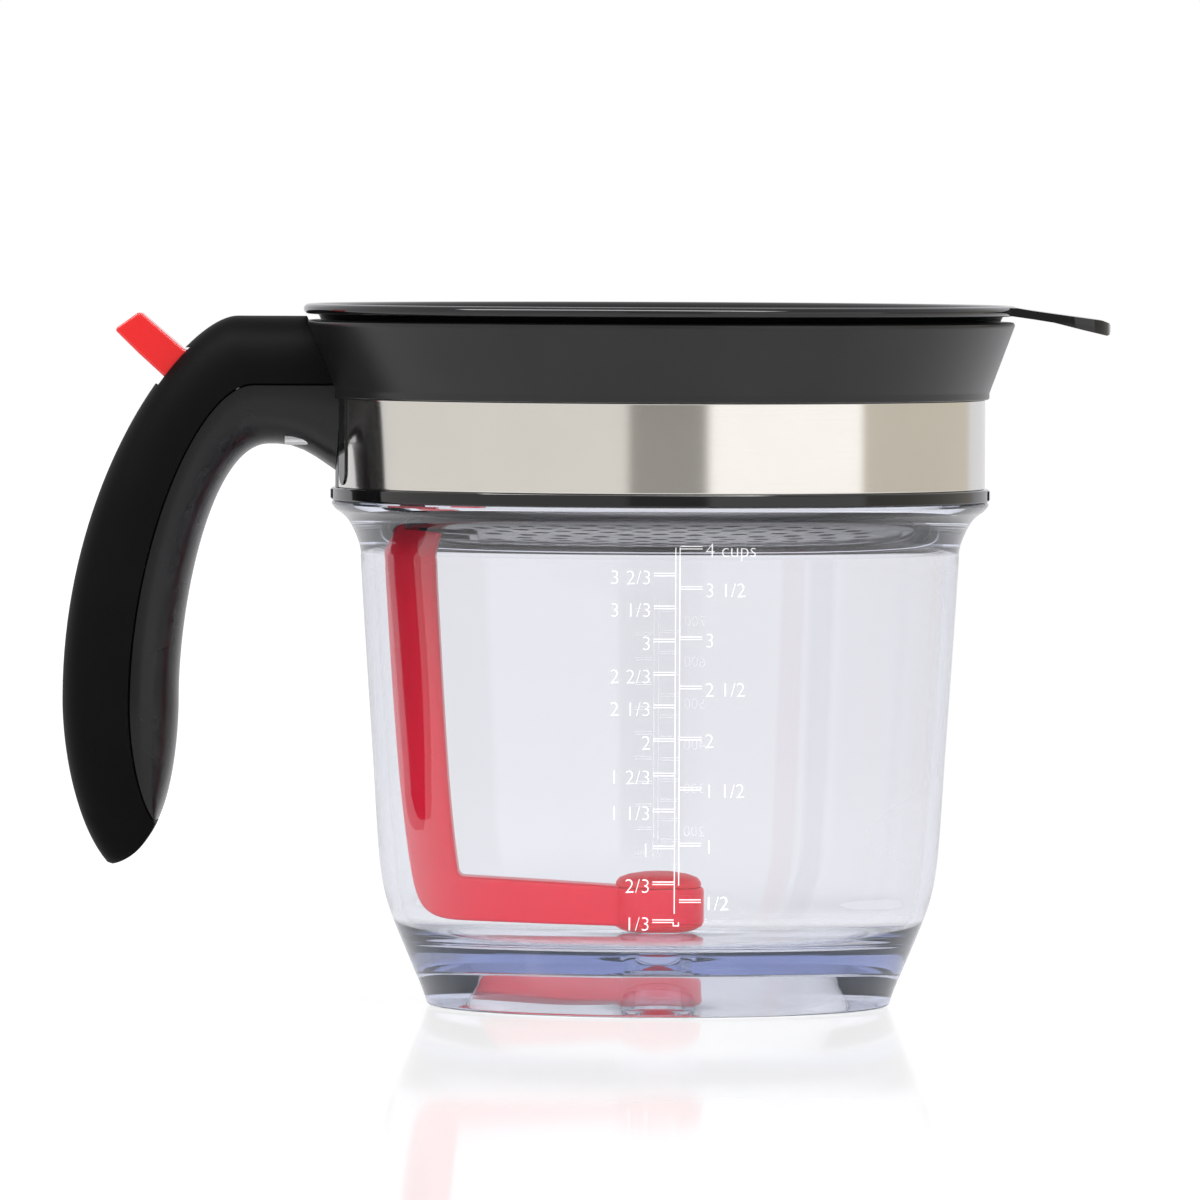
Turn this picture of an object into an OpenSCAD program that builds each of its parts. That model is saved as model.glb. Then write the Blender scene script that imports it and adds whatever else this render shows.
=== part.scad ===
// Fat separator jug: a clear cup with a bottom drain, a black collar with a steel band,
// a two-piece handle, a thumb lever that lifts the drain stopper, and a lift-out strainer.
// Origin: centre of the foot on the table. +X points to the strainer's tab, -X to the
// handle, +Z up. Millimetres.

/* [Cup] */
// Outer radius at the top of the straight wall
wall_top_r = 64.3; // [55:0.1:80]
// Height at the top of the straight wall
wall_top_z = 96.0; // [80:0.1:140]
// Wall thickness of the cup
wall_t = 3.0; // [2:0.1:5]
// How much narrower the belly is than the top of the wall
belly_in = 3.2; // [0:0.1:10]
// Height where the curved lower wall turns into the straight wall
belly_z = 46.3; // [35:0.1:60]
// How far the foot ring stands inside the belly
foot_in = 11.2; // [6:0.1:16]
// Radial width of the foot ring at the table
foot_w = 5.3; // [3:0.1:8]
// Height of the foot, up to where the curved lower wall begins
foot_h = 7.0; // [4:0.1:10]
// Height of the recess under the floor
recess_h = 11.0; // [8:0.1:14]
// Thickness of the floor around the drain
floor_t = 4.0; // [3:0.1:8]
// How much the floor rises from the drain to the wall
floor_rise = 0.8; // [0.2:0.1:4]
// How far the rim bead stands out from the wall
rim_out = 6.3; // [4:0.1:9]
// Height of the cove from the wall to the top of the rim bead
cove_h = 12.3; // [9:0.1:20]
// Width of the flat step on the rim bead, outside the neck
step_w = 4.0; // [3:0.1:6]
// Height of the neck above the rim bead
neck_h = 15.7; // [10:0.1:17]

/* [Drain] */
// Radius of the drain hole
drain_r = 5.0; // [3:0.1:6]
// Radial width of the conical seat around the drain hole
seat_w = 2.4; // [1.5:0.1:5]
// Depth of the conical seat
seat_d = 1.0; // [0.5:0.05:2]
// Radial thickness of the short spout under the floor
spout_t = 3.0; // [2:0.1:5]
// Gap drawn between the soft stopper and its seat
stopper_gap = 0.32; // [0.3:0.01:0.5]
// Radius of the stopper's holder at the end of the arm
holder_r = 9.8; // [8.5:0.1:12]
// Height of the arm's underside above the floor, when the drain is closed
arm_rise = 2.8; // [2:0.1:5]

/* [Collar and band] */
// Height of the black ring under the band
ring_h = 2.8; // [1.8:0.1:5]
// How far the black ring and the lip stand out from the steel band
lip_out = 0.9; // [0.3:0.05:2]
// Thickness of the steel band
band_t = 0.6; // [0.3:0.05:1]
// Visible height of the steel band
band_h = 19.3; // [17:0.1:30]
// Height of the straight lip above the band
lip_h = 1.5; // [0.5:0.1:3]
// Height of the flared part of the collar
flare_h = 15.1; // [13:0.1:22]
// How far the flare widens from the lip to its top
flare_out = 5.4; // [3:0.1:9]
// Wall thickness of the flared collar at its top
collar_t = 3.4; // [2.4:0.1:4]
// Width of the black clips that hold the band beside the handle
clip_w = 6.2; // [4:0.1:8]

/* [Handle] */
// Height of the handle's flat top above the collar
handle_rise = 0.8; // [0:0.1:3]
// How far the handle reaches out from the collar
handle_out = 52.2; // [42:0.1:65]
// Height of the handle's tip above the table
handle_tip_z = 29.8; // [15:0.1:50]
// Depth of the shell at the collar, from its flat top down to the seam
shell_d = 14.6; // [13:0.1:16]
// Half width of the handle at its root
root_w = 13.0; // [11.5:0.1:18]
// Half width of the handle at its middle
mid_w = 14.2; // [11.5:0.1:18]
// Wall thickness of the hollow shell
shell_t = 2.6; // [2:0.1:4]

/* [Thumb lever] */
// Distance from the collar's top edge out to the lever's pivot
pivot_out = 3.9; // [3:0.1:6]
// Depth of the lever's pivot below the collar's top
pivot_d = 8.0; // [7:0.1:10]
// Radius of the steel pivot pin
pin_r = 1.5; // [1:0.1:2.2]
// Radial clearance of the lever on its pin
pin_gap = 0.05; // [0.01:0.01:0.1]
// How far the thumb tab reaches out from the pivot
lever_out = 37.0; // [32:0.1:42]
// Thickness of the lever's bar, seen from the side
bar_h = 5.0; // [4:0.1:6]
// Width of the thumb tab
tab_w = 12.0; // [9:0.1:13]
// Width of the lever's bar inside the handle, and of the red arm
bar_w = 9.6; // [7:0.1:11]
// Width of the arm seen from the side
arm_d = 11.0; // [8:0.1:13]
// Clearance between the arm and the cup's wall
arm_gap = 2.2; // [1:0.1:4]

/* [Strainer] */
// How far the strainer's rim stands out beyond the collar
srim_out = 0.6; // [0:0.1:3]
// Height of the strainer's rim above the collar
srim_h = 3.5; // [2.5:0.1:6]
// Depth from the collar's top to the underside of the screen
bowl_d = 36.0; // [34:0.1:48]
// Gap between the strainer's bowl at its bottom and the cup's wall
bowl_gap = 4.3; // [2:0.1:9]
// Thickness of the perforated screen
screen_t = 1.6; // [1:0.1:2.2]
// Radius of the straining holes
hole_r = 1.9; // [1:0.1:2.6]
// Distance between rings of straining holes
hole_pitch = 7.4; // [6:0.1:10]
// Length of the lifting tab beyond the rim
stab_l = 19.7; // [12:0.1:30]
// Width of the lifting tab
stab_w = 34.0; // [24:0.5:46]
// Wall thickness of the strainer
strainer_t = 1.8; // [1.2:0.1:2.6]

/* [Hidden] */
$fn = 96;

// Radii, from the wall outwards.
belly_r = wall_top_r - belly_in;
foot_r = belly_r - foot_in;
wall_in_r = wall_top_r - wall_t;
rim_r = wall_top_r + rim_out;
neck_r = rim_r - step_w;
ledge_r = neck_r - 2.6;
sleeve_r = neck_r + 0.05;
ring_r = rim_r + 0.1;
ring_in = ring_r - 2.5;
band_r = ring_r - lip_out;
band_in = band_r - band_t;
flare_r = ring_r + flare_out;
flare_in_r = flare_r - collar_t;
srim_r = flare_r + srim_out;
bowl_r = wall_in_r - bowl_gap;
screen_r = bowl_r - strainer_t;
seat_r = drain_r + seat_w;
spout_r = drain_r + spout_t;
// Heights, from the floor up.
floor_mid_z = recess_h + floor_t;
floor_edge_z = floor_mid_z + floor_rise;
seat_bottom = floor_mid_z - seat_d;
rim_z = wall_top_z + cove_h;
neck_z1 = rim_z + neck_h;
gasket_h = 1.6;
ledge_z = neck_z1 + gasket_h;
band_z0 = rim_z + ring_h;
band_z1 = band_z0 + band_h;
lip_z1 = band_z1 + lip_h;
collar_top_z = lip_z1 + flare_h;
seat_top = collar_top_z;
srim_z = collar_top_z + srim_h;
screen_z = collar_top_z - bowl_d;
handle_top_z = collar_top_z + handle_rise;
seam_z = handle_top_z - shell_d;
pivot_z = collar_top_z - pivot_d;
pivot_x = flare_r + pivot_out;
handle_reach = flare_r + handle_out;
tab_reach = srim_r + stab_l;
// Window, screws and the arm's place.
window_w = bar_w / 2 + 1.9;
screw_r = 1.25;
head_r = 2.2;
head_h = 1.4;
low_screw = [7.0, band_z0 + 10.4];
low_face = ring_r - 2.7;
top_screw = [window_w + 2.9, seam_z + 2.5];
top_face = ring_r - 1.8;
arm_x1 = wall_in_r - arm_gap;
arm_low = belly_r - wall_t - arm_gap - 1.0;
notch_x = arm_x1 - arm_d - 6.5;
notch_w = bar_w / 2 + 1.8;
eps = 0.01;

function bez(a, b, c, d, t) =
  a * pow(1 - t, 3) + 3 * b * t * pow(1 - t, 2) + 3 * c * t * t * (1 - t) + d * pow(t, 3);
function curve(a, b, c, d, n, s = 0) = [for (i = [s:n]) bez(a, b, c, d, i / n)];
function mix(a, b, t) = a * (1 - t) + b * t;
function dir(a, b) = (b - a) / norm(b - a);
// A power that keeps its sign, for rounded cross-sections.
function spow(v, p) = sign(v) * pow(abs(v), p);

// ---------------------------------------------------------------- cup

// Outer line of the cup: foot, curved lower wall, straight wall, cove under the rim, bead.
function cup_outer() = concat(
  [[foot_r, 0], [foot_r + 1.4, 4.8], [foot_r + 1.9, foot_h - 0.4]],
  curve([foot_r + 2.4, foot_h], [belly_r - 1.5, foot_h + 17.4],
    [belly_r - 1.5, belly_z - 24], [belly_r, belly_z], 14),
  [[(belly_r + wall_top_r) / 2 + 0.25, (belly_z + wall_top_z) / 2]],
  curve([wall_top_r, wall_top_z + 1.2], [wall_top_r + 0.2, wall_top_z + 3.2],
    [wall_top_r + 1.1, wall_top_z + 5.2], [wall_top_r + 2.0, wall_top_z + 6.9], 5),
  curve([wall_top_r + 2.0, wall_top_z + 6.9], [wall_top_r + 2.7, wall_top_z + 8.2],
    [rim_r - 3.0, rim_z - 3.2], [rim_r - 1.0, rim_z - 2.0], 4, 1),
  [[rim_r - 0.3, rim_z - 1.2], [rim_r, rim_z - 0.7], [rim_r, rim_z - 0.3],
    [rim_r - 0.3, rim_z], [neck_r, rim_z], [neck_r, neck_z1 - 0.6], [neck_r - 0.6, neck_z1]]);

// Inner line, from the neck down to the floor and the drain seat.
function cup_inner() = concat(
  [[ledge_r + 0.4, neck_z1]],
  curve([ledge_r, neck_z1 - 0.4], [ledge_r - 0.9, neck_z1 - 12],
    [wall_in_r + 0.5, rim_z - 4], [wall_in_r, wall_top_z - 3], 7),
  [[belly_r - wall_t, belly_z]],
  curve([belly_r - wall_t - 0.1, belly_z - 2], [belly_r - wall_t - 1.8, belly_z - 18],
    [belly_r - wall_t - 3.2, floor_edge_z + 0.2],
    [belly_r - wall_t - 8.5, floor_edge_z - 0.6], 10),
  [[seat_r, floor_mid_z], [drain_r, seat_bottom], [drain_r, 2.6], [drain_r + 0.6, 2.2],
    [spout_r - 0.5, 2.2], [spout_r, 2.7], [spout_r + 0.4, recess_h - 0.6],
    [spout_r + 1.2, recess_h], [foot_r - foot_w - 1.2, recess_h],
    [foot_r - foot_w - 0.4, recess_h - 0.7], [foot_r - foot_w, 0]]);

module cup() {
  color([0.86, 0.88, 0.95, 0.35])
    rotate_extrude()
      polygon(concat(cup_outer(), cup_inner()));
}

// Soft ring squeezed between the cup's neck and the collar's ledge.
module neck_gasket() {
  color([0.75, 0.75, 0.75])
    rotate_extrude()
      polygon([[ledge_r + 0.3, neck_z1], [neck_r - 0.6, neck_z1], [neck_r - 0.1, neck_z1 + 0.5],
        [neck_r - 0.1, ledge_z - 0.3], [neck_r - 0.4, ledge_z], [ledge_r + 0.3, ledge_z]]);
}

// ---------------------------------------------------------------- collar and band

// Outside of collar, band and ring together: what the handle's root is seated on.
module collar_envelope() {
  translate([0, 0, rim_z - 6])
    cylinder(r = band_r, h = band_z1 - rim_z + 6);
  translate([0, 0, rim_z - 6])
    cylinder(r = ring_r, h = 6 + ring_h);
  translate([0, 0, band_z1])
    cylinder(r = ring_r, h = lip_h);
  translate([0, 0, lip_z1])
    cylinder(r1 = ring_r, r2 = flare_r, h = collar_top_z - 0.8 - lip_z1);
  translate([0, 0, collar_top_z - 0.8 - eps])
    cylinder(r = flare_r, h = 20);
}

// The screws' holes through the collar: a clearance hole and a recess for the head.
module collar_screw_holes() {
  for (s = [-1, 1]) {
    translate([-low_face, s * low_screw[0], low_screw[1]])
      screw_hole();
    translate([-top_face, s * top_screw[0], top_screw[1]])
      screw_hole();
  }
}

module screw_hole() {
  rotate([0, 90, 0])
    cylinder(r = head_r + 0.15, h = 9);
  rotate([0, -90, 0])
    cylinder(r = screw_r + 0.1, h = 12);
}

// The window where the lever enters the cup's mouth.
module lever_window() {
  translate([-flare_r - 16, -window_w, seam_z])
    cube([40, 2 * window_w, handle_top_z - seam_z - 4.6]);
}

// Outline of the two clips beside the handle: upright, with a round lower end.
module band_clips(g, r) {
  intersection() {
    for (s = [-1, 1])
      translate([-band_r - 4, s * (root_w + 3.5), 0]) {
        translate([0, -clip_w / 2 - g, band_z0 + 1.7 + clip_w / 2])
          cube([20, clip_w + 2 * g, band_z1 - band_z0 - 1.7 - clip_w / 2 + 0.5]);
        translate([0, 0, band_z0 + 1.7 + clip_w / 2])
          rotate([0, 90, 0])
            cylinder(r = clip_w / 2 + g, h = 20);
      }
    difference() {
      translate([0, 0, band_z0])
        cylinder(r = r, h = band_h + 0.5);
      translate([0, 0, band_z0 - 1])
        cylinder(r = band_in - 0.4, h = band_h + 3);
    }
  }
}

module collar() {
  color([0.06, 0.06, 0.06])
    difference() {
      union() {
        rotate_extrude()
          polygon([[sleeve_r, rim_z], [ring_in, rim_z], [ring_in, band_z0], [band_in, band_z0],
            [band_in, band_z1], [ring_r, band_z1], [ring_r, lip_z1],
            [flare_r, collar_top_z - 0.8], [flare_r - 0.25, collar_top_z - 0.25],
            [flare_r - 0.8, collar_top_z], [flare_in_r + 0.5, collar_top_z],
            [flare_in_r, collar_top_z - 0.5], [ledge_r + 2.2, lip_z1],
            [ledge_r, lip_z1 - 2.2], [ledge_r, ledge_z], [sleeve_r, ledge_z]]);
        band_clips(0, band_r + 0.35);
        // The pad that fills the gap in the band, under the handle's root.
        intersection() {
          translate([-band_r - 2, -11, band_z0])
            cube([6, 22, band_h]);
          difference() {
            translate([0, 0, band_z0])
              cylinder(r = band_r, h = band_h);
            translate([0, 0, band_z0 - 1])
              cylinder(r = band_in - 0.4, h = band_h + 2);
          }
        }
      }
      lever_window();
      collar_screw_holes();
    }
}

// Black ring that closes the band's lower edge, with its two joining blocks.
module lower_ring() {
  color([0.07, 0.07, 0.07])
    union() {
        rotate_extrude()
          polygon([[ring_in, rim_z], [ring_r - 0.3, rim_z], [ring_r, rim_z + 0.3],
            [ring_r, band_z0 - 0.3], [ring_r - 0.3, band_z0], [ring_in, band_z0]]);
        for (s = [-1, 1])
          intersection() {
            translate([s * (ring_r - 3) - 8, -7, rim_z + 0.4])
              cube([16, 14, ring_h - 0.8]);
            difference() {
              translate([0, 0, rim_z])
                cylinder(r = ring_r + 0.3, h = ring_h);
              translate([0, 0, rim_z - 1])
                cylinder(r = ring_in + 1, h = ring_h + 2);
            }
          }
    }
}

// Steel strip around the collar: its two ends stop at the pad under the handle.
module steel_band() {
  color([0.78, 0.76, 0.72])
    difference() {
      translate([0, 0, band_z0])
        cylinder(r = band_r, h = band_h);
      translate([0, 0, band_z0 - 1])
        cylinder(r = band_in, h = band_h + 2);
      translate([-band_r - 5, -11, band_z0 - 1])
        cube([10, 22, band_h + 2]);
      band_clips(0.05, band_r + 1);
    }
}

// ---------------------------------------------------------------- handle

// A point of the side view: x in from the handle's reach and z up from its tip, both scaled
// with the handle.
hu = handle_out / 52.2;
hv = (handle_top_z - handle_tip_z) / 118;
function hp(x, z) = [-handle_reach + x * hu, handle_tip_z + z * hv];
tip = hp(10.2, 0);
grip_end = hp(20.4, 9.1);
root_x = band_r - 9.8;
root_z = band_z0 + 9.2;

// Side-view lines of the handle as station lists of equal length.
function outer_line() = concat(
  [[-root_x, handle_top_z], [-flare_r + 1.1, handle_top_z], hp(45.3, 118)],
  curve(hp(37.5, 118), hp(26.4, 118), hp(0, 83.9), hp(0, 35.9), 14),
  [for (i = [1:8]) bez(hp(0, 35.9), hp(0, 24.2), hp(3.1, 7.7), tip, i / 13)],
  [for (i = [9:13]) bez(hp(0, 35.9), hp(0, 24.2), hp(3.1, 7.7), tip + [-1.3, 0.5], i / 13)]);
function seam_line() = concat(
  [[-root_x, seam_z], [-flare_r + 1.1, seam_z], [-handle_reach + 47.3 * hu, seam_z]],
  curve([-handle_reach + 41.2 * hu, seam_z], [-handle_reach + 29.4 * hu, seam_z],
    hp(14.7, 68.7), hp(14.7, 34.4), 14),
  curve(hp(14.7, 34.4), hp(14.7, 26.2), hp(16.3, 14.2), grip_end, 8, 1));
function tip_line() = curve(grip_end, hp(18.3, 4.2), hp(14.8, 0.8), tip + [1.5, 0.1], 5, 1);
function inner_line() = concat(
  [[-root_x, band_z0 + 0.4]],
  curve([-band_r + 3.8, band_z0 + 1.1], [-band_r - 2.2, band_z0 + 4.5],
    [-band_r - 6.2, root_z], [-band_r - 12.4, root_z], 2, 1),
  curve([-handle_reach + 44.3 * hu, root_z], [-handle_reach + 32 * hu, root_z],
    hp(25, 56.9), hp(25, 35.9), 14),
  curve(hp(25, 35.9), hp(25, 27.2), hp(23.7, 15.7), grip_end, 8, 1));
// Half widths at the same stations.
function width_line() = concat(
  [root_w, root_w, root_w],
  [for (i = [0:14]) mix(root_w, mid_w, i / 14)],
  [for (i = [1:8]) mix(mid_w, mid_w * 0.80, pow(i / 8, 1.6))],
  [for (i = [1:5]) mid_w * 0.80 * sqrt(1 - pow(i / 5.15, 2))]);

// One cross-section: from the seam at -y, round the back edge, to the seam at +y.
function d_section(s, o, w, p, m) = [for (k = [0:m])
  let (a = -90 + 180 * k / m, u = spow(cos(a), p), v = spow(sin(a), p))
    [s[0] + (o[0] - s[0]) * u, w * v, s[1] + (o[1] - s[1]) * u]];

// A closed solid through a list of cross-sections of equal length.
module loft(secs) {
  n = len(secs);
  m = len(secs[0]);
  pts = [for (s = secs) for (p = s) p];
  sides = [for (i = [0:n - 2]) for (k = [0:m - 1]) each let (a = i * m + k,
    b = i * m + (k + 1) % m) [[a, b + m, b], [a, a + m, b + m]]];
  first = [[for (k = [0:m - 1]) k]];
  last = [[for (k = [m - 1:-1:0]) (n - 1) * m + k]];
  polyhedron(points = pts, faces = concat(sides, first, last));
}

// A point of the lever in the side view, from its pivot, scaled with the lever.
lu = lever_out / 37;
function lp(x, z) = [-pivot_x + x * lu, pivot_z + z * lu];

// Channel in the shell for the lever's bar and the slot for its tab.
module lever_channel() {
  slab(tab_w + 1.2, [lp(-44, 9.4), lp(-32, 16.5), lp(-21.7, 2.5), lp(-17.5, 2.6), lp(-14, 4.0),
    [-root_x, pivot_z + 4.2 * lu], [-root_x, seam_z - 0.2], [-pivot_x - 8 * lu, seam_z - 0.2],
    [-pivot_x - 20 * lu, seam_z - 7 * lu], lp(-25.5, -8.6)]);
}

// The shell: a D-section loft, hollow between stations k0 and k1 with an open seam side.
module shell_loft(outs, ins, k0, k1) {
  n = len(outs);
  m = len(outs[0]);
  pts = concat([for (s = outs) for (p = s) p], [for (s = ins) for (p = s) p]);
  function o(i, k) = i * m + k;
  function q(i, k) = n * m + (i - k0) * m + k;
  skin = [for (i = [0:n - 2]) for (k = [0:m - 2]) each
    [[o(i, k), o(i + 1, k + 1), o(i, k + 1)], [o(i, k), o(i + 1, k), o(i + 1, k + 1)]]];
  hollow = [for (i = [k0:k1 - 1]) for (k = [0:m - 2]) each
    [[q(i, k), q(i, k + 1), q(i + 1, k + 1)], [q(i, k), q(i + 1, k + 1), q(i + 1, k)]]];
  lips = [for (i = [k0:k1 - 1]) each
    [[o(i, 0), q(i + 1, 0), o(i + 1, 0)], [o(i, 0), q(i, 0), q(i + 1, 0)],
      [o(i, m - 1), q(i + 1, m - 1), q(i, m - 1)],
      [o(i, m - 1), o(i + 1, m - 1), q(i + 1, m - 1)]]];
  flats = [for (i = [0:n - 2]) if (i < k0 - 1 || i > k1) each
    [[o(i, 0), o(i + 1, m - 1), o(i + 1, 0)], [o(i, 0), o(i, m - 1), o(i + 1, m - 1)]]];
  join0 = [[o(k0 - 1, 0), q(k0, 0), o(k0, 0)], [o(k0 - 1, 0), q(k0, m - 1), q(k0, 0)],
    [o(k0 - 1, 0), o(k0, m - 1), q(k0, m - 1)], [o(k0 - 1, 0), o(k0 - 1, m - 1), o(k0, m - 1)]];
  join1 = [[o(k1 + 1, 0), o(k1, 0), q(k1, 0)], [o(k1 + 1, 0), q(k1, 0), q(k1, m - 1)],
    [o(k1 + 1, 0), q(k1, m - 1), o(k1, m - 1)], [o(k1 + 1, 0), o(k1, m - 1), o(k1 + 1, m - 1)]];
  ends = [[for (k = [0:m - 1]) o(0, k)], [for (k = [m - 1:-1:0]) o(n - 1, k)],
    [for (k = [m - 1:-1:0]) q(k0, k)], [for (k = [0:m - 1]) q(k1, k)]];
  polyhedron(points = pts, faces = concat(skin, hollow, lips, flats, join0, join1, ends));
}

module handle_shell() {
  o = outer_line();
  s = concat(seam_line(), tip_line());
  w = width_line();
  n = len(o);
  k0 = 5;
  k1 = n - 8;
  color([0.13, 0.13, 0.13])
    difference() {
      shell_loft([for (i = [0:n - 1]) d_section(s[i], o[i], w[i], 0.72, 16)],
        [for (i = [k0:k1])
          let (e = dir(o[i], s[i])) d_section(s[i], o[i] + e * shell_t, w[i] - shell_t, 0.72, 16)],
        k0, k1);
      lever_channel();
      collar_envelope();
      translate([-pivot_x, 11.1, pivot_z])
        rotate([90, 0, 0])
          cylinder(r = pin_r, h = 22.2);
      for (k = [-1, 1])
        translate([-root_x, k * top_screw[0], top_screw[1]])
          rotate([0, -90, 0])
            cylinder(r = screw_r, h = top_face - root_x + 18.1);
    }
}

module handle_grip() {
  s = seam_line();
  g = inner_line();
  w = width_line();
  n = len(s);
  color([0.05, 0.05, 0.05])
    difference() {
      loft([for (i = [0:n - 1])
        let (q = i == n - 1 ? s[i] + [1.2, -0.8] : g[i])
          d_section(s[i], q, -(w[i] - 0.35), 0.85, 14)]);
      collar_envelope();
      // Pocket for the return spring.
      translate([-spring_x, 0, spring_z0])
        cylinder(r = spring_r + 0.9, h = 30);
      for (k = [-1, 1])
        translate([-root_x, k * low_screw[0], low_screw[1]])
          rotate([0, -90, 0])
            cylinder(r = screw_r, h = low_face - root_x + 14);
    }
}

// Four identical screws that hold the handle to the collar, heads inside the collar.
module handle_screws() {
  color([0.7, 0.7, 0.72])
    for (k = [-1, 1]) {
      translate([-low_face, k * low_screw[0], low_screw[1]])
        screw();
      translate([-top_face, k * top_screw[0], top_screw[1]])
        screw();
    }
}

module screw() {
  rotate([0, -90, 0])
    difference() {
      union() {
        cylinder(r = screw_r, h = 12.5);
        translate([0, 0, -head_h])
          cylinder(r = head_r, h = head_h);
      }
      translate([0, 0, -head_h - 0.1])
        cylinder(r = 1.1, h = 0.9, $fn = 6);
    }
}

module lever_pin() {
  color([0.75, 0.75, 0.77])
    translate([-pivot_x, 11, pivot_z])
      rotate([90, 0, 0])
        cylinder(r = pin_r, h = 22);
}

// ---------------------------------------------------------------- lever, arm and stopper

spring_r = 3.0;
spring_wire = 0.45;
spring_x = pivot_x + 15 * lu;
spring_z0 = root_z + 1.9;
spring_z1 = pivot_z - 5.2 * lu;

// Coil spring between the grip's pocket and the lever's bar.
module return_spring() {
  turns = 6;
  per = 14;
  n = turns * per;
  z0 = spring_z0 + spring_wire;
  z1 = spring_z1 - spring_wire;
  color([0.72, 0.72, 0.74])
    translate([-spring_x, 0, 0])
      loft([for (i = [0:n])
        let (a = 360 * i / per, z = mix(z0, z1, i / n))
          [for (k = [0:5]) let (b = -60 * k)
            [(spring_r + spring_wire * cos(b)) * cos(a),
              (spring_r + spring_wire * cos(b)) * sin(a), z + spring_wire * sin(b)]]]);
}

// Thumb tab outside the handle, bar on the pivot pin, tongue that enters the cup's mouth.
module thumb_lever() {
  top = bar_h / 2 - 0.1;
  low = top - bar_h;
  color([0.93, 0.16, 0.17])
    difference() {
      union() {
        slab(tab_w, [lp(-37, 5.6), lp(-31.6, 9.5), lp(-22.3, 1.6), lp(-18.5, 0.6),
          lp(-17.5, -4.1), lp(-22, -7.8)]);
        slab(bar_w, [lp(-18.5, 0.6), [-pivot_x - 12 * lu, pivot_z + top],
          [-pivot_x + 3, pivot_z + top], [-pivot_x + 3, pivot_z + low],
          [-pivot_x - 12 * lu, pivot_z + low], lp(-17.5, -4.1), lp(-20, -5)]);
        slab(bar_w - 3.6, [[-pivot_x + 2, pivot_z + top], [-arm_x1 + 3.1, pivot_z + top],
          [-arm_x1 + 3.1, pivot_z + low], [-pivot_x + 2, pivot_z + low]]);
        translate([-pivot_x, bar_w / 2, pivot_z])
          rotate([90, 0, 0])
            cylinder(r = pin_r + 2.5, h = bar_w);
        // Flat seat for the return spring.
        translate([-spring_x, 0, spring_z1])
          cylinder(r = spring_r + 0.8, h = pivot_z - spring_z1 - 1);
      }
      translate([-pivot_x, 10, pivot_z])
        rotate([90, 0, 0])
          cylinder(r = pin_r + pin_gap, h = 20);
      translate([-arm_x1 - 1.9, 5, pivot_z - 0.1])
        rotate([90, 0, 0])
          cylinder(r = screw_r, h = 10);
    }
}

// A flat piece of width w with its outline given in the side view.
module slab(w, pts) {
  translate([0, w / 2, 0])
    rotate([90, 0, 0])
      linear_extrude(w)
        polygon(pts);
}

bar_z0 = floor_mid_z + arm_rise + 0.6;
bar_z1 = bar_z0 + 8.0;
holder_z0 = bar_z0 + 0.1;
holder_z1 = holder_z0 + 7.1;
stem_r = holder_r - 5.2;
cap_h = 2.95;

// Side outline of the arm: socket block, bar down the wall, curved heel, bar to the stopper.
function arm_outline() = concat(
  [[-arm_x1 - 4.4, pivot_z + 3.4], [-arm_x1 + 8, pivot_z + 3.4],
    [-arm_x1 + arm_d - 0.2, pivot_z + 1.4]],
  curve([-arm_x1 + arm_d, wall_top_z], [-arm_low + arm_d - 0.9, belly_z + 5.7],
    [-arm_low + arm_d + 0.3, belly_z - 8.3], [-arm_low + arm_d + 1.9, bar_z1 + 2.2], 6),
  [[-arm_low + arm_d + 2.9, bar_z1 + 1.3], [-holder_r + 0.2, holder_z1],
    [-holder_r + 1.7, holder_z1], [-holder_r + 1.7, holder_z0], [-holder_r - 0.1, holder_z0],
    [-holder_r - 0.1, bar_z0 - 0.6]],
  curve([-arm_low + arm_d + 3, bar_z0 + 0.6], [-arm_low + 6.5, bar_z0 + 0.9],
    [-arm_low + 3.2, bar_z0 + 3.5], [-arm_low + 1.9, bar_z1 + 1.9], 7),
  [[-arm_low - 0.6, belly_z], [-arm_x1, wall_top_z], [-arm_x1, pivot_z - 13],
    [-arm_x1 - 4.4, pivot_z - 4.2]]);

module valve_arm() {
  color([0.82, 0.08, 0.14])
    difference() {
      union() {
        slab(bar_w, arm_outline());
        translate([0, 0, holder_z0])
          cylinder(r = holder_r, h = holder_z1 - holder_z0);
      }
      // Slot for the lever's tongue.
      translate([-pivot_x, -bar_w / 2 + 1.8, pivot_z - bar_h / 2 - 0.1])
        cube([pivot_x - arm_x1 + 3.3, bar_w - 3.6, bar_h]);
      cylinder(r = stem_r, h = 60);
      translate([-arm_x1 - 1.9, bar_w, pivot_z - 0.1])
        rotate([90, 0, 0])
          cylinder(r = screw_r + 0.05, h = 2 * bar_w);
    }
}

// Screw across the arm's socket and the lever's tongue.
module arm_screw() {
  color([0.7, 0.7, 0.72])
    translate([-arm_x1 - 1.9, -bar_w / 2, pivot_z - 0.1])
      rotate([-90, 0, 0]) {
        cylinder(r = screw_r, h = bar_w);
        translate([0, 0, -0.8])
          cylinder(r = head_r, h = 0.8);
      }
}

// Soft plug: tapered body, stem through the arm's holder, cone that closes the drain.
module stopper() {
  g = stopper_gap;
  color([0.86, 0.12, 0.16])
    rotate_extrude()
      polygon([[0, seat_bottom + g + 0.1], [drain_r - 0.4, seat_bottom + g + 0.1],
        [seat_r - 0.2, floor_mid_z + g + 0.05], [holder_r - 1.0, holder_z0 - 1.4],
        [holder_r - 0.2, holder_z0], [stem_r, holder_z0], [stem_r, holder_z1], [0, holder_z1]]);
}

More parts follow.
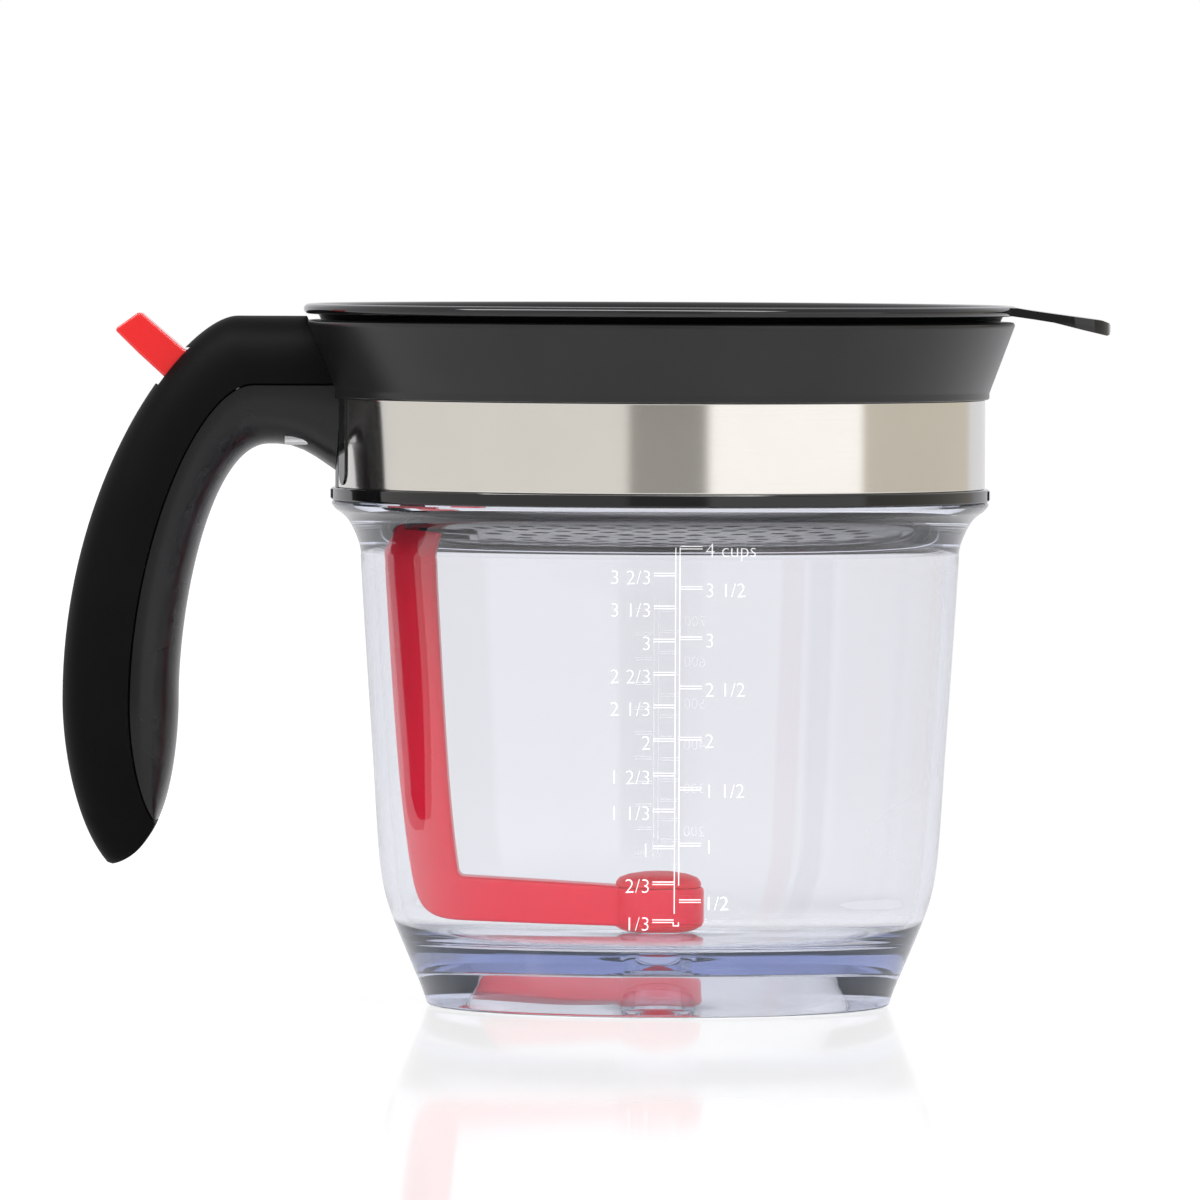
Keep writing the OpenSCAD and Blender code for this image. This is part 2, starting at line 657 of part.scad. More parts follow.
// Domed cap pressed on the stem.
module stopper_cap() {
  color([0.86, 0.12, 0.16])
    rotate_extrude()
      polygon(concat([[0, holder_z1]], [for (i = [0:6])
        [(holder_r - 0.5) * spow(cos(15 * i), 0.6), holder_z1 + cap_h * spow(sin(15 * i), 1.3)]]));
}

// ---------------------------------------------------------------- strainer

// Half section of the strainer: rolled rim, seat ring, funnel, bowl wall, foot for the screen.
function strainer_profile() = concat(
  [[flare_r - 1.2, seat_top], [flare_r - 1.1, srim_z - 2.3], [srim_r - 0.5, srim_z - 2.2],
    [srim_r, srim_z - 1.6], [srim_r, srim_z - 0.7], [srim_r - 0.5, srim_z - 0.1],
    [srim_r - 1.3, srim_z], [srim_r - 3.2, srim_z - 0.8], [flare_r - 4.7, srim_z - 3.9],
    [ledge_r - 2.4, lip_z1 + 1.2], [ledge_r - 4.2, lip_z1 - 3.0], [bowl_r + 0.8, screen_z + 9.4],
    [screen_r, screen_z + 3.2], [screen_r, screen_z + 1], [bowl_r - 3.4, screen_z + 1],
    [bowl_r - 3.4, screen_z]],
  bowl_outside(),
  [[flare_r - 3.2, seat_top]]);

// Outside of the bowl, from the bottom up.
function bowl_outside() = [[bowl_r - 0.9, screen_z], [bowl_r, screen_z + 0.8],
  [bowl_r + 2.6, screen_z + 9], [ledge_r - 2.4, lip_z1 - 3.5], [ledge_r - 0.6, lip_z1 + 0.6],
  [flare_r - 3.6, seat_top - 0.4]];

// Space kept free for the arm: open at the bottom and towards the handle.
module arm_notch(g) {
  translate([-srim_r - 10, -notch_w - g, screen_z - 10])
    cube([srim_r + 10 - notch_x + g, 2 * (notch_w + g), seat_top - screen_z + 9.4 + g]);
}

module strainer_solid() {
  rotate_extrude()
    polygon(concat([[0, seat_top - 0.4], [0, screen_z]], bowl_outside()));
}

module strainer() {
  color([0.04, 0.04, 0.04]) {
    difference() {
      union() {
        rotate_extrude()
          polygon(strainer_profile());
        // Walls of the notch, inside the bowl.
        intersection() {
          strainer_solid();
          arm_notch(strainer_t);
        }
      }
      arm_notch(0);
    }
    // Lifting tab with its turned-down end.
    intersection() {
      slab(stab_w, [[srim_r - 2.7, srim_z - 0.6], [srim_r - 2.7, srim_z - 2.0],
        [srim_r + 3.8, srim_z - 3.4], [srim_r + 7.3, srim_z - 3.5],
        [tab_reach - 0.8, srim_z - 6.2], [tab_reach, srim_z - 5.6],
        [tab_reach, srim_z - 3.7], [tab_reach - 2, srim_z - 2.9],
        [srim_r + 7.3, srim_z - 2.0], [srim_r + 1.8, srim_z - 1.5], [srim_r - 0.7, srim_z - 0.6]]);
      translate([0, 0, srim_z - 20])
        linear_extrude(30)
          union() {
            translate([srim_r - 6.7, -stab_w / 2])
              square([stab_l + 6.7 - 9, stab_w]);
            for (k = [-1, 1])
              translate([tab_reach - 9, k * (stab_w / 2 - 9)])
                circle(r = 9);
            translate([tab_reach - 10, -stab_w / 2 + 9])
              square([10, stab_w - 18]);
          }
    }
  }
}

// Perforated screen snapped into the bottom of the bowl.
module strainer_screen() {
  color([0.05, 0.05, 0.05])
    difference() {
      translate([0, 0, screen_z + 1])
        cylinder(r = screen_r - 0.05, h = screen_t);
      arm_notch(strainer_t + 0.05);
      for (k = [0:floor((screen_r - hole_r - 2) / hole_pitch)])
        for (j = [0:max(0, 6 * k - 1)])
          let (a = k == 0 ? 0 : 360 * j / (6 * k), x = k * hole_pitch * cos(a),
            y = k * hole_pitch * sin(a))
            if (x > -notch_x + strainer_t + hole_r + 1.3
              || abs(y) > notch_w + strainer_t + hole_r + 1.3)
              translate([x, y, screen_z])
                cylinder(r = hole_r, h = screen_t + 2);
    }
}

cup();
neck_gasket();
collar();
lower_ring();
steel_band();
handle_shell();
handle_grip();
handle_screws();
lever_pin();
return_spring();
thumb_lever();
valve_arm();
arm_screw();
stopper();
stopper_cap();
strainer();
strainer_screen();
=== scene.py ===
# %% [markdown]
# # A gravy fat separator, step by step
# The object is a clear jug with a steel band, a flared black collar, a two-piece handle
# with a red thumb tab, a red arm that carries the stopper, and a strainer that lifts out.
# The solid model comes in first as a fixed frame. Each cell then dresses one piece of it.

# %% Load the solid frame
import math

import bpy
from mathutils import Matrix, Vector


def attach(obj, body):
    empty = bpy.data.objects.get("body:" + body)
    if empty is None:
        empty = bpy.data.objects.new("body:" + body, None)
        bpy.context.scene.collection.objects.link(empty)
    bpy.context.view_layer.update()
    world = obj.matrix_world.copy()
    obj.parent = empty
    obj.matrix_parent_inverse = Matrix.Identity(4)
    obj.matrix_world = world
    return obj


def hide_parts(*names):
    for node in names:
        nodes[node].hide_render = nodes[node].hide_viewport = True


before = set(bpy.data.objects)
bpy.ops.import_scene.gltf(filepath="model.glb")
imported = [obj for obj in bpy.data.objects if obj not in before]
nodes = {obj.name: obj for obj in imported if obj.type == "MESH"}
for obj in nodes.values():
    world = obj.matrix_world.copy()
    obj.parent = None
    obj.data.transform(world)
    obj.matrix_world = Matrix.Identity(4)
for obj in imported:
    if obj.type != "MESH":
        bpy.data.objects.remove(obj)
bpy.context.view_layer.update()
MM = 0.001

# %% [markdown]
# ## The camera first
# The photograph is taken from far away with a long lens, a little above the rim of the
# jug. A picture of this kind is rebuilt from three facts: the distance (how much the far
# rim rises above the near rim), the scale at the object, and a very small tilt.

# %% Camera
def add_camera():
    data = bpy.data.cameras.new("side_camera")
    data.sensor_width = 36.0
    data.lens = 404.8
    data.clip_start = 0.05
    data.clip_end = 30.0
    camera = bpy.data.objects.new("side_camera", data)
    bpy.context.scene.collection.objects.link(camera)
    camera.location = (-12.8 * MM, -2900 * MM, 174.8 * MM)
    look = Vector((-12.8 * MM, 0, 86.95 * MM)) - camera.location
    turn = look.to_track_quat("-Z", "Y").to_matrix().to_4x4()
    roll = Matrix.Rotation(math.radians(0.232), 4, "Z")
    camera.matrix_world = Matrix.Translation(camera.location) @ turn @ roll
    bpy.context.scene.camera = camera
    return camera


add_camera()
print("camera", tuple(round(v, 4) for v in bpy.context.scene.camera.location))

# %% [markdown]
# ## Small modelling helpers
# Most pieces of a jug are turned shapes. By hand they would be drawn as a half section,
# vertex by vertex, and spun round the axis. The helpers below do just that with the same
# operators, and always start with nothing selected.

# %% Selecting and tracing
def deselect_all():
    if bpy.context.object and bpy.context.object.mode != "OBJECT":
        bpy.ops.object.mode_set(mode="OBJECT")
    bpy.ops.object.select_all(action="DESELECT")


def make_active(piece):
    deselect_all()
    piece.select_set(True)
    bpy.context.view_layer.objects.active = piece


def trace_line(name, points, closed=False):
    """Draws a chain of edges in the XZ plane, point after point, by extruding one vertex."""
    deselect_all()
    bpy.ops.mesh.primitive_plane_add(size=2 * MM, location=(0, 0, 0))
    piece = bpy.context.object
    piece.name = piece.data.name = name
    bpy.ops.object.mode_set(mode="EDIT")
    bpy.ops.mesh.select_all(action="SELECT")
    bpy.ops.mesh.merge(type="CENTER")
    x0, z0 = points[0]
    bpy.ops.transform.translate(value=(x0 * MM, 0, z0 * MM))
    for (xa, za), (xb, zb) in zip(points, points[1:]):
        step = ((xb - xa) * MM, 0, (zb - za) * MM)
        bpy.ops.mesh.extrude_vertices_move(TRANSFORM_OT_translate={"value": step})
    if closed:
        bpy.ops.mesh.select_all(action="SELECT")
        bpy.ops.mesh.remove_doubles(threshold=1e-7)
        ends = len(points) - 1
        bpy.ops.mesh.select_all(action="DESELECT")
        bpy.ops.object.mode_set(mode="OBJECT")
        piece.data.vertices[0].select = True
        piece.data.vertices[ends].select = True
        bpy.ops.object.mode_set(mode="EDIT")
        bpy.ops.mesh.select_mode(type="VERT")
        bpy.ops.mesh.edge_face_add()
    bpy.ops.object.mode_set(mode="OBJECT")
    return piece


def clean_up(piece, angle=35.0):
    """Merges doubles, turns every face outwards and shades by angle."""
    make_active(piece)
    bpy.ops.object.mode_set(mode="EDIT")
    bpy.ops.mesh.select_all(action="SELECT")
    bpy.ops.mesh.remove_doubles(threshold=2e-6)
    bpy.ops.mesh.normals_make_consistent(inside=False)
    bpy.ops.object.mode_set(mode="OBJECT")
    bpy.ops.object.shade_smooth_by_angle(angle=math.radians(angle))
    return piece


def turned_piece(name, points, steps=180, angle=360.0, start=0.0, closed=True, smooth=35.0):
    """Spins a half section round the Z axis. A part turn gets its two ends closed."""
    piece = trace_line(name, points, closed=closed)
    bpy.ops.object.mode_set(mode="EDIT")
    bpy.ops.mesh.select_all(action="SELECT")
    if angle < 360:
        bpy.ops.transform.rotate(value=-math.radians(start + angle), orient_axis="Z",
                                 center_override=(0, 0, 0))
    if angle < 360:
        bpy.ops.mesh.edge_face_add()
        bpy.ops.mesh.select_all(action="SELECT")
        bpy.ops.mesh.spin(steps=steps, angle=math.radians(angle), center=(0, 0, 0), axis=(0, 0, 1))
    else:
        bpy.ops.mesh.spin(steps=steps, angle=math.radians(360), center=(0, 0, 0), axis=(0, 0, 1))
    bpy.ops.object.mode_set(mode="OBJECT")
    return clean_up(piece, smooth)


def apply_modifier(piece, kind, **settings):
    make_active(piece)
    modifier = piece.modifiers.new(kind.title(), kind)
    for key, value in settings.items():
        setattr(modifier, key, value)
    bpy.ops.object.modifier_apply(modifier=modifier.name)
    return piece


def cut(piece, cutter, operation="DIFFERENCE"):
    apply_modifier(piece, "BOOLEAN", operation=operation, object=cutter, solver="EXACT")
    bpy.data.objects.remove(cutter)
    return piece


def block(name, low, high):
    """A box between two corners in millimetres, used as a cutter."""
    deselect_all()
    middle = [(a + b) / 2 * MM for a, b in zip(low, high)]
    bpy.ops.mesh.primitive_cube_add(size=1, location=middle)
    piece = bpy.context.object
    piece.name = name
    piece.scale = [(b - a) * MM for a, b in zip(low, high)]
    bpy.ops.object.transform_apply(location=True, rotation=True, scale=True)
    return piece


def flat_piece(name, outline, width, bevel=0.0, segments=4, smooth=35.0):
    """A side-view outline filled, extruded to a width and rounded along its edges."""
    piece = trace_line(name, outline, closed=True)
    bpy.ops.object.mode_set(mode="EDIT")
    bpy.ops.mesh.select_all(action="SELECT")
    bpy.ops.mesh.edge_face_add()
    bpy.ops.transform.translate(value=(0, -width / 2 * MM, 0))
    bpy.ops.mesh.extrude_region_move(TRANSFORM_OT_translate={"value": (0, width * MM, 0)})
    bpy.ops.object.mode_set(mode="OBJECT")
    clean_up(piece, smooth)
    if bevel:
        apply_modifier(piece, "BEVEL", width=bevel * MM, segments=segments,
                       limit_method="ANGLE", angle_limit=math.radians(40), profile=0.6)
        clean_up(piece, smooth)
    return piece


def bezier(a, b, c, d, count, first=0):
    points = []
    for i in range(first, count + 1):
        t = i / count
        w = ((1 - t) ** 3, 3 * t * (1 - t) ** 2, 3 * t * t * (1 - t), t ** 3)
        points.append(tuple(sum(k * p[j] for k, p in zip(w, (a, b, c, d))) for j in (0, 1)))
    return points


# %% [markdown]
# ## Writing materials as expressions
# A material is a small sum: some noise, a mask, a colour. The class below wraps one output
# of a node. Adding or multiplying two of them adds the Math node, so that the sum reads as
# a sum. Every pattern uses Object coordinates, because each piece keeps its place in them.

# %% Shader expressions
class Value:
    def __init__(self, material, socket):
        self.material = material
        self.socket = socket

    def _math(self, operation, *operands, swap=False):
        inputs = [self, *operands]
        if swap:
            inputs = [operands[0], self]
        return self.material.node("ShaderNodeMath", {"operation": operation},
                                  {i: v for i, v in enumerate(inputs)})

    def __add__(self, other):
        return self._math("ADD", other)

    def __radd__(self, other):
        return self._math("ADD", other)

    def __sub__(self, other):
        return self._math("SUBTRACT", other)

    def __rsub__(self, other):
        return self._math("SUBTRACT", other, swap=True)

    def __mul__(self, other):
        return self._math("MULTIPLY", other)

    def __rmul__(self, other):
        return self._math("MULTIPLY", other)

    def __truediv__(self, other):
        return self._math("DIVIDE", other)

    def power(self, other):
        return self._math("POWER", other)

    def clamp(self):
        node = self.material.node("ShaderNodeClamp", {}, {"Value": self})
        return node


class Finish:
    """One node material. node() adds any node: settings first, then values or links."""

    def __init__(self, name):
        self.material = bpy.data.materials.new(name)
        self.material.use_nodes = True
        self.tree = self.material.node_tree
        self.tree.nodes.clear()
        self.output = self.tree.nodes.new("ShaderNodeOutputMaterial")
        self.place = None

    def node(self, kind, settings=None, sockets=None, out=0):
        node = self.tree.nodes.new(kind)
        for key, value in (settings or {}).items():
            if key == "stops":
                ramp = node.color_ramp
                while len(ramp.elements) < len(value):
                    ramp.elements.new(0.5)
                for element, (where, colour) in zip(ramp.elements, value):
                    element.position = where
                    element.color = (*colour, 1) if len(colour) == 3 else colour
            else:
                setattr(node, key, value)
        for key, value in (sockets or {}).items():
            socket = node.inputs[key]
            if isinstance(value, Value):
                self.tree.links.new(value.socket, socket)
            else:
                if socket.type == "RGBA" and len(value) == 3:
                    value = (*value, 1)
                socket.default_value = value
        return Value(self, node.outputs[out])

    def coordinates(self, scale=(1, 1, 1)):
        if self.place is None:
            self.place = self.node("ShaderNodeTexCoord", out=3)
        if scale == (1, 1, 1):
            return self.place
        return self.node("ShaderNodeMapping", {}, {"Vector": self.place, "Scale": scale})

    def noise(self, scale, detail=3.0, stretch=(1, 1, 1), roughness=0.5):
        return self.node("ShaderNodeTexNoise", {}, {
            "Vector": self.coordinates(stretch), "Scale": scale, "Detail": detail,
            "Roughness": roughness})

    def ramp(self, value, *stops):
        return self.node("ShaderNodeValToRGB", {"stops": stops}, {"Fac": value})

    def bump(self, height, strength, distance=0.0002):
        return self.node("ShaderNodeBump", {}, {
            "Height": height, "Strength": strength, "Distance": distance})

    def principled(self, **sockets):
        names = {k.replace("_", " "): v for k, v in sockets.items()}
        shader = self.node("ShaderNodeBsdfPrincipled", {}, names)
        self.tree.links.new(shader.socket, self.output.inputs["Surface"])
        return shader


# %% [markdown]
# ## The finishes
# Black plastic is never quite black. The handle's shell is matte with a fine moulded grain,
# the grip is smoother and a little shiny, the collar lies between the two, and the rim and
# the ring under the band are glossy. Fine noise moves the roughness and the bump.

# %% Black plastics
def black_plastic(name, colour, rough, spread, grain_scale, grain, gloss=0.5):
    finish = Finish(name)
    soft = finish.noise(60.0, 4.0)
    fine = finish.noise(grain_scale, 2.0)
    tone = finish.ramp(soft, (0.3, [c * 0.85 for c in colour]), (0.7, [c * 1.2 for c in colour]))
    finish.principled(
        Base_Color=tone, Roughness=soft * spread + (rough - spread / 2),
        IOR=1.5, Specular_IOR_Level=gloss,
        Normal=finish.bump(fine, grain, 0.00008))
    return finish.material


shell_black = black_plastic("shell_matte_black", (0.0025, 0.0025, 0.0025), 0.55, 0.06, 2600, 0.25, 0.06)
grip_black = black_plastic("grip_satin_black", (0.003, 0.003, 0.0035), 0.27, 0.05, 1600, 0.08, 0.35)
collar_black = black_plastic("collar_satin_black", (0.008, 0.008, 0.008), 0.30, 0.06, 2200, 0.15, 0.40)
gloss_black = black_plastic("rim_gloss_black", (0.004, 0.004, 0.0045), 0.06, 0.03, 900, 0.02)
screen_black = black_plastic("screen_black", (0.006, 0.006, 0.0065), 0.09, 0.04, 1200, 0.03)


# %% [markdown]
# Stainless steel strip is drawn through rollers, so its scratches run round the band. A
# noise stretched along the band gives them: tall in Z, almost constant in X and Y.

# %% Steel and fasteners
def steel(name, colour, rough, scratch):
    finish = Finish(name)
    lines = finish.noise(1.0, 5.0, (18, 18, 5200), 0.65)
    cloud = finish.noise(35.0, 3.0)
    tone = finish.ramp(cloud, (0.25, [c * 0.95 for c in colour]), (0.75, colour))
    finish.principled(
        Base_Color=tone, Metallic=1.0, Roughness=lines * 0.10 + (rough - 0.05),
        Normal=finish.bump(lines, scratch, 0.00003))
    return finish.material


band_steel = steel("band_brushed_steel", (0.74, 0.72, 0.68), 0.11, 0.04)
small_steel = steel("fastener_steel", (0.62, 0.62, 0.63), 0.28, 0.10)


# %% [markdown]
# The tab outside the handle is bright red. The arm and the stopper inside the jug are a
# deeper crimson with a soft shine.

# %% Reds
def red_plastic(name, colour, rough, coat, gloss, grain):
    finish = Finish(name)
    cloud = finish.noise(45.0, 3.0)
    fine = finish.noise(1900.0, 2.0)
    tone = finish.ramp(cloud, (0.3, [c * 0.92 for c in colour]), (0.7, colour))
    finish.principled(
        Base_Color=tone, Roughness=cloud * 0.08 + (rough - 0.04), IOR=1.45,
        Specular_IOR_Level=gloss, Coat_Weight=coat, Coat_Roughness=0.06,
        Normal=finish.bump(fine, grain, 0.00005))
    return finish.material


tab_red = red_plastic("tab_bright_red", (0.78, 0.016, 0.018), 0.14, 0.5, 0.5, 0.01)
arm_red = red_plastic("arm_crimson", (0.88, 0.004, 0.034), 0.30, 0.0, 0.3, 0.10)
stopper_red = red_plastic("stopper_soft_red", (0.84, 0.012, 0.030), 0.42, 0.0, 0.4, 0.10)


# %% [markdown]
# The jug is thick moulded clear plastic. Glass with the plastic's refraction gives the dark
# edges and the bent view of the arm. A faint blue is absorbed where the light goes through a
# lot of it, at the foot, and the plastic's volume glows a pale blue-white, most strongly there:
# a painted glow in place of haze. The raised marks are drawn white with a faint glow, a painted
# highlight for the light they catch.

# %% Clear plastic
def clear_plastic(name, tint, rough, density=0.0):
    finish = Finish(name)
    ripple = finish.noise(26.0, 2.0, (1, 1, 0.5))
    finish.principled(
        Base_Color=tint, Roughness=rough, IOR=1.49, Transmission_Weight=1.0,
        Normal=finish.bump(ripple, 0.05, 0.0004))
    if density:
        soak = finish.node("ShaderNodeVolumeAbsorption", {}, {
            "Color": (0.08, 0.19, 0.60), "Density": density})
        # The volume also glows a pale blue-white, more where the plastic is thick: a painted glow in place of
        # haze.
        painted_glow = finish.node("ShaderNodeEmission", {}, {
            "Color": (0.83, 0.92, 1.0), "Strength": 1.4})
        inside = finish.node("ShaderNodeAddShader", {}, {0: soak, 1: painted_glow})
        finish.tree.links.new(inside.socket, finish.output.inputs["Volume"])
    return finish.material


clear_cup = clear_plastic("cup_clear", (1.0, 1.0, 1.0), 0.0, 17.0)


def plain_finish(name, low, high, rough, light=0.0):
    finish = Finish(name)
    speck = finish.noise(300.0, 3.0)
    # With light set, the finish glows white at that strength, a painted glow. It is then fully opaque below
    # about 32 mm height and a third opaque above 34 mm.
    sockets = {"Emission_Color": (1, 1, 1, 1), "Emission_Strength": light} if light else {}
    if light:
        up = finish.node("ShaderNodeSeparateXYZ", {}, {0: finish.coordinates()}, out=2)
        sockets["Alpha"] = 1.0 - (up * 500.0 - 16.0).clamp() * 0.66
    finish.principled(Base_Color=finish.ramp(speck, (0.3, (low,) * 3), (0.7, (high,) * 3)),
                      Roughness=speck * 0.1 + rough, **sockets)
    return finish.material


# The marks are white with a faint glow: a painted highlight for the light that their raised edges catch.
marks_painted_highlight = plain_finish("marks_painted_highlight", 0.92, 0.97, 0.25, 0.42)
gasket_grey = plain_finish("gasket_soft_grey", 0.50, 0.60, 0.45)
print("finishes", len(bpy.data.materials))


def dress(piece, material, body, replaces=()):
    piece.data.materials.clear()
    piece.data.materials.append(material)
    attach(piece, body)
    if replaces:
        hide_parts(*replaces)
    return piece


def dress_node(name, material):
    piece = nodes[name]
    piece.data.materials.clear()
    piece.data.materials.append(material)


# %% [markdown]
# ## The clear cup
# One half section: foot ring, curved lower wall, straight wall, cove under the rim bead,
# the neck that stands inside the collar, and back down the inside to the thick floor with
# its drain seat and spout. Many short steps keep the bent view through the wall smooth.

# %% Cup
def cup_section():
    outer = [(49.0, 0.0)]
    outer += bezier((49.1, 0.0), (49.45, 0.03), (49.7, 0.25), (49.85, 0.7), 5)
    outer += bezier((49.85, 0.7), (50.4, 2.6), (51.2, 4.6), (52.3, 7.0), 8, 1)
    outer += bezier((52.3, 7.0), (59.6, 24.4), (59.6, 22.3), (61.1, 46.3), 34, 1)
    outer += bezier((61.1, 46.3), (61.9, 60.0), (63.3, 78.0), (64.3, 96.0), 10, 1)
    outer += bezier((64.3, 97.2), (64.5, 99.2), (65.4, 101.2), (66.3, 102.9), 22)
    outer += bezier((66.3, 102.9), (67.0, 104.2), (67.6, 105.1), (69.6, 106.3), 18, 1)
    outer += [(70.3, 107.1), (70.6, 107.6), (70.6, 108.0), (70.3, 108.3),
              (66.6, 108.3), (66.6, 123.4), (66.4, 123.8), (66.0, 124.0)]
    inner = [(64.4, 124.0)]
    inner += bezier((64.0, 123.6), (63.1, 112.0), (61.8, 104.3), (61.3, 93.0), 40)
    inner += bezier((61.3, 93.0), (60.4, 78.0), (58.9, 60.0), (58.1, 46.3), 10, 1)
    inner += bezier((58.1, 46.3), (56.6, 26.0), (55.6, 15.2), (49.6, 14.6), 30, 1)
    inner += [(40.0, 14.58), (25.0, 14.5), (8.6, 14.42), (8.2, 14.45), (8.0, 14.6), (7.7, 14.85),
              (7.4, 14.9), (7.2, 14.85), (5.3, 14.15), (5.05, 14.05), (5.0, 13.8),
              (5.0, 2.8), (5.2, 2.4), (5.6, 2.2), (7.4, 2.2), (7.8, 2.35), (8.0, 2.7),
              (8.4, 9.5), (8.7, 10.1), (9.3, 10.3), (9.6, 10.3), (43.3, 10.3)]
    inner += bezier((43.5, 10.3), (43.95, 10.3), (44.3, 10.1), (44.45, 9.6), 5)
    inner += [(44.5, 9.45), (46.25, 0.95), (46.3, 0.75), (46.5, 0.3), (46.9, 0.0)]
    return outer + inner


cup = turned_piece("clear_cup", cup_section(), steps=220, smooth=28.0)
dress(cup, clear_cup, "jug", ("cup",))
cup.visible_shadow = False
print("cup faces", len(cup.data.polygons))

# %% [markdown]
# ## Collar, ring and band
# The collar is one turned piece: a sleeve behind the band, a straight lip over it, then the
# straight flare with a rounded top edge. The red arm passes through a window at the back.

# %% Collar
collar_section = [
    (66.65, 108.35), (68.2, 108.35), (68.2, 111.1), (69.2, 111.1), (69.2, 130.35),
    (70.35, 130.4), (70.6, 130.55), (70.7, 130.8), (70.7, 131.8), (70.85, 132.2),
    (70.93, 132.4), (75.92, 145.7), (76.0, 145.9), (76.1, 146.3), (76.0, 146.7), (75.7, 146.95),
    (75.3, 147.0), (73.2, 147.0), (72.85, 146.9), (72.6, 146.5), (66.2, 132.0), (64.0, 129.8), (64.0, 125.65),
    (66.65, 125.65)]
collar = turned_piece("collar_flare", collar_section, steps=200)
cut(collar, block("window", (-92, -6.7, 133.2), (-52, 6.7, 143.2)))
pad = turned_piece("band_pad", [(69.0, 111.15), (69.8, 111.15), (69.8, 130.35), (69.0, 130.35)],
                   steps=12, angle=17.0, start=171.5)
clean_up(collar)
dress(collar, collar_black, "jug", ("collar",))
dress(pad, collar_black, "jug")

# %% Lower ring
ring_section = [(68.25, 108.4), (70.4, 108.4), (70.6, 108.5), (70.7, 108.7), (70.7, 108.8),
                (70.7, 110.7), (70.7, 110.8), (70.6, 111.0), (70.4, 111.1), (68.25, 111.1)]
ring = turned_piece("band_ring", ring_section, steps=200)
dress(ring, gloss_black, "jug", ("lower_ring",))
for side in (0.0, 180.0):
    joint_block = turned_piece("ring_block", [(69.3, 108.7), (70.7, 108.7), (70.95, 108.9),
                               (70.95, 110.7), (70.7, 110.85), (69.3, 110.85)],
                               steps=12, angle=11.5, start=side - 5.75)
    dress(joint_block, gloss_black, "jug")

# %% [markdown]
# The band is a thin strip whose two ends meet the pad under the handle, so it is spun only
# part of the way round. Its edges are turned in a little, which catches a thin bright line.

# %% Steel band
band_section = [(69.25, 111.2), (69.6, 111.15), (69.75, 111.25), (69.8, 111.45), (69.8, 111.55),
                (69.8, 129.95), (69.8, 130.05), (69.75, 130.25), (69.6, 130.35), (69.25, 130.3)]
band = turned_piece("steel_band_strip", band_section, steps=220, angle=341.5, start=-170.75)
dress(band, band_steel, "jug", ("steel_band",))

# %% [markdown]
# Beside the handle, two black clips with a round lower end lie over the band. Each is drawn
# flat, moved out to the band and turned round the axis to its place.

# %% Band clips
CLIP_ANGLE = math.degrees(math.asin(16.5 / 69.8))


def place_round(piece, radius, angle):
    """Moves a piece drawn at the axis, facing -Y, out to a radius and turns it to an azimuth."""
    make_active(piece)
    bpy.ops.object.mode_set(mode="EDIT")
    bpy.ops.mesh.select_all(action="SELECT")
    bpy.ops.transform.translate(value=(0, -radius * MM, 0))
    bpy.ops.transform.rotate(value=-math.radians(angle + 90), orient_axis="Z",
                             center_override=(0, 0, 0))
    bpy.ops.object.mode_set(mode="OBJECT")
    return piece


for side in (-1, 1):
    capsule_line = [(-3.1, 131.0)]
    capsule_line += [(-3.1 * math.cos(math.radians(a)), 114.9 - 3.1 * math.sin(math.radians(a)))
                     for a in range(0, 181, 12)]
    capsule_line += [(3.1, 131.0)]
    clip = flat_piece("band_clip", capsule_line, 1.0, 0.3, 3)
    place_round(clip, 69.65, 180 + side * CLIP_ANGLE)
    dress(clip, gloss_black, "jug")

# %% [markdown]
# ## The handle
# The handle is two halves along one seam line: a matte outer shell and a smooth inner grip.
# In the side view there are three lines, the outer edge, the seam and the inner edge. At
# each station a circle is shaped into a D between two of the lines, and the rows of D's
# are bridged into a closed form.

# %% Handle lines
REACH = -128.3
TIP = (REACH + 10.2, 29.8)
GRIP_END = (REACH + 20.4, 38.9)


def handle_lines():
    fine = 3
    n1, n2, n3 = 14 * fine, 8 * fine, 5 * fine
    out = [(-66 - 3.5 * i, 147.8) for i in range(7)]
    out += bezier((REACH + 37.5, 147.8), (REACH + 26.4, 147.8), (REACH, 113.7), (REACH, 65.7), n1)
    low = bezier((REACH, 65.7), (REACH, 54), (REACH + 3.1, 37.5), TIP, n2 + n3, 1)
    out += low
    seam = [(-66 - 3 * i, 133.2) for i in range(7)]
    seam += bezier((REACH + 41.2, 133.2), (REACH + 29.4, 133.2), (REACH + 14.7, 98.5),
                   (REACH + 14.7, 64.2), n1)
    seam += bezier((REACH + 14.7, 64.2), (REACH + 14.7, 56), (REACH + 16.3, 44), GRIP_END, n2, 1)
    end = bezier(GRIP_END, (REACH + 18.3, 34), (REACH + 14.8, 30.6), TIP, n3, 1)
    root = bezier((-66, 112.2), (-72, 115.6), (-76, 120.3), (-82.2, 120.3), 12)
    inner = root[::2]
    inner += bezier((-84, 120.3), (-96.3, 120.3), (REACH + 25, 86.7), (REACH + 25, 65.7), n1)
    inner += bezier((REACH + 25, 65.7), (REACH + 25, 57), (REACH + 23.7, 45.5), GRIP_END, n2, 1)
    width = [13.0] * 7
    width += [13.0 + 1.2 * i / n1 for i in range(n1 + 1)]
    width += [14.2 - 2.84 * (i / n2) ** 1.6 for i in range(1, n2 + 1)]
    tip_width = [11.36 * math.sqrt(max(0.02, 1 - (i / (n3 + 0.2)) ** 2)) for i in range(1, n3 + 1)]
    return out, seam, inner, end, width, tip_width


